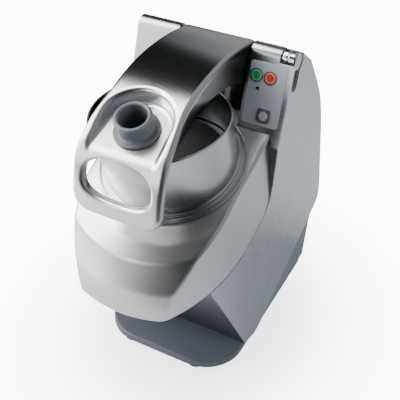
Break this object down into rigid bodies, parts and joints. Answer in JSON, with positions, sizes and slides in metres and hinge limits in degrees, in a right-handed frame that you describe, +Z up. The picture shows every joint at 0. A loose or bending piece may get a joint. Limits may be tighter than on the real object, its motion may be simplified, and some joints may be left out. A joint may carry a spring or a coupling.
{
  "type": "vegetable cutting machine",
  "caption": "Counter-top vegetable cutting machine with a leaning round hopper, a curved press lever, a cup pusher, a hood outlet and a control panel on its column.",
  "frame": {"origin": "centre of the bounding box on the plane that the rubber feet stand on", "axes": "+X to the side of the control panel, +Y to the rear, +Z up; the outlet and the lever handle face -Y"},
  "size_m": [0.252, 0.4772, 0.51],
  "materials": {
    "casing_steel": "satin",
    "column_steel": "polished",
    "hood_steel": "satin",
    "lever_steel": "polished",
    "inner_steel": "satin",
    "base_plastic": "matte",
    "wedge_plastic": "matte",
    "foot_rubber": "matte",
    "seal_rubber": "matte",
    "belt_rubber": "matte",
    "liner_plastic": "matte",
    "cup_plastic": "satin",
    "grip_plastic": "satin",
    "pusher_plastic": "satin",
    "panel_film": "satin",
    "start_green": "gloss",
    "stop_red": "gloss",
    "pulse_grey": "satin",
    "lens_dark": "gloss",
    "board_green": "satin",
    "bush_bronze": "satin",
    "bearing_steel": "polished",
    "shaft_steel": "polished",
    "disc_steel": "polished",
    "ejector_plastic": "satin",
    "cast_alloy": "cast",
    "motor_alloy": "cast",
    "rotor_iron": "machined",
    "screw_steel": "plated",
    "magnet_black": "matte",
    "capacitor_can": "satin"
  },
  "bodies": {
    "casing": {"base_plate": "base_plastic", "rubber_feet": "foot_rubber", "base_wedge": "wedge_plastic", "right_side_panel": "casing_steel", "left_side_panel": "casing_steel", "front_panel": "casing_steel", "rear_cover": "casing_steel", "deck_plate": "inner_steel", "right_pillar": "column_steel", "left_pillar": "column_steel", "gap_liner": "liner_plastic", "pin_grip_cup": "grip_plastic", "hinge_bushes": "bush_bronze", "disc_chamber": "inner_steel", "chamber_seal": "seal_rubber", "discharge_chute": "inner_steel", "bearing_housing": "cast_alloy", "shaft_bearings": "bearing_steel", "control_panel": "panel_film", "status_lens": "lens_dark", "control_board": "board_green", "lever_sensor": "magnet_black", "motor_housing": "motor_alloy", "motor_bracket": "inner_steel", "motor_bearings": "bearing_steel", "run_capacitor": "capacitor_can", "drive_belt": "belt_rubber", "cable_gland": "magnet_black", "base_screws": "screw_steel", "motor_screws": "screw_steel", "rear_screws": "screw_steel", "cover_clips": "inner_steel"},
    "feed_head": {"hood": "hood_steel", "hopper_tube": "hood_steel", "hopper_ring": "hood_steel", "head_arms": "cast_alloy", "arm_screws": "screw_steel"},
    "press_lever": {"lever": "lever_steel", "lever_hubs": "cast_alloy", "vegetable_tube": "lever_steel", "pusher_plate": "pusher_plastic", "lever_magnet": "magnet_black"},
    "cup_pusher_body": {"cup_pusher": "cup_plastic"},
    "pin_body": {"hinge_pin": "shaft_steel", "pin_grip": "grip_plastic"},
    "disc_body": {"disc_shaft": "shaft_steel", "cutting_disc": "disc_steel", "slicing_blades": "disc_steel", "ejector": "ejector_plastic", "driven_pulley": "cast_alloy"},
    "rotor_body": {"motor_rotor": "rotor_iron", "motor_shaft": "shaft_steel", "motor_pulley": "cast_alloy"},
    "start_body": {"start_button": "start_green"},
    "stop_body": {"stop_button": "stop_red"},
    "pulse_body": {"pulse_button": "pulse_grey"}
  },
  "joints": [
    {"name": "head_hinge", "type": "hinge", "parent": "casing", "child": "feed_head", "pos_m": [0, 0.0549, 0.487], "axis": [-1, 0, 0], "range_deg": [0, 75]},
    {"name": "lever_hinge", "type": "hinge", "parent": "feed_head", "child": "press_lever", "pos_m": [0, 0.0549, 0.487], "axis": [-1, 0, 0], "range_deg": [0, 60]},
    {"name": "cup_slide", "type": "slide", "parent": "press_lever", "child": "cup_pusher_body", "axis": [0, -0.342, 0.9397], "range_m": [0, 0.12]},
    {"name": "pin_slide", "type": "slide", "parent": "casing", "child": "pin_body", "axis": [1, 0, 0], "range_m": [0, 0.2]},
    {"name": "disc_spin", "type": "hinge", "parent": "casing", "child": "disc_body", "pos_m": [0, -0.0781, 0.358], "axis": [0, -0.342, 0.9397], "continuous": true},
    {"name": "rotor_spin", "type": "hinge", "parent": "casing", "child": "rotor_body", "pos_m": [0, 0.02996, 0.39733], "axis": [0, -0.342, 0.9397], "continuous": true},
    {"name": "start_press", "type": "slide", "parent": "casing", "child": "start_body", "axis": [0, 0.9563, -0.2924], "range_m": [0, 0.0012], "stiffness_N_per_m": 300},
    {"name": "stop_press", "type": "slide", "parent": "casing", "child": "stop_body", "axis": [0, 0.9563, -0.2924], "range_m": [0, 0.0012], "stiffness_N_per_m": 300},
    {"name": "pulse_press", "type": "slide", "parent": "casing", "child": "pulse_body", "axis": [0, 0.9563, -0.2924], "range_m": [0, 0.0012], "stiffness_N_per_m": 300}
  ],
  "couplings": [
    {"joint": "rotor_spin", "follows": "disc_spin", "ratio": 4}
  ]
}
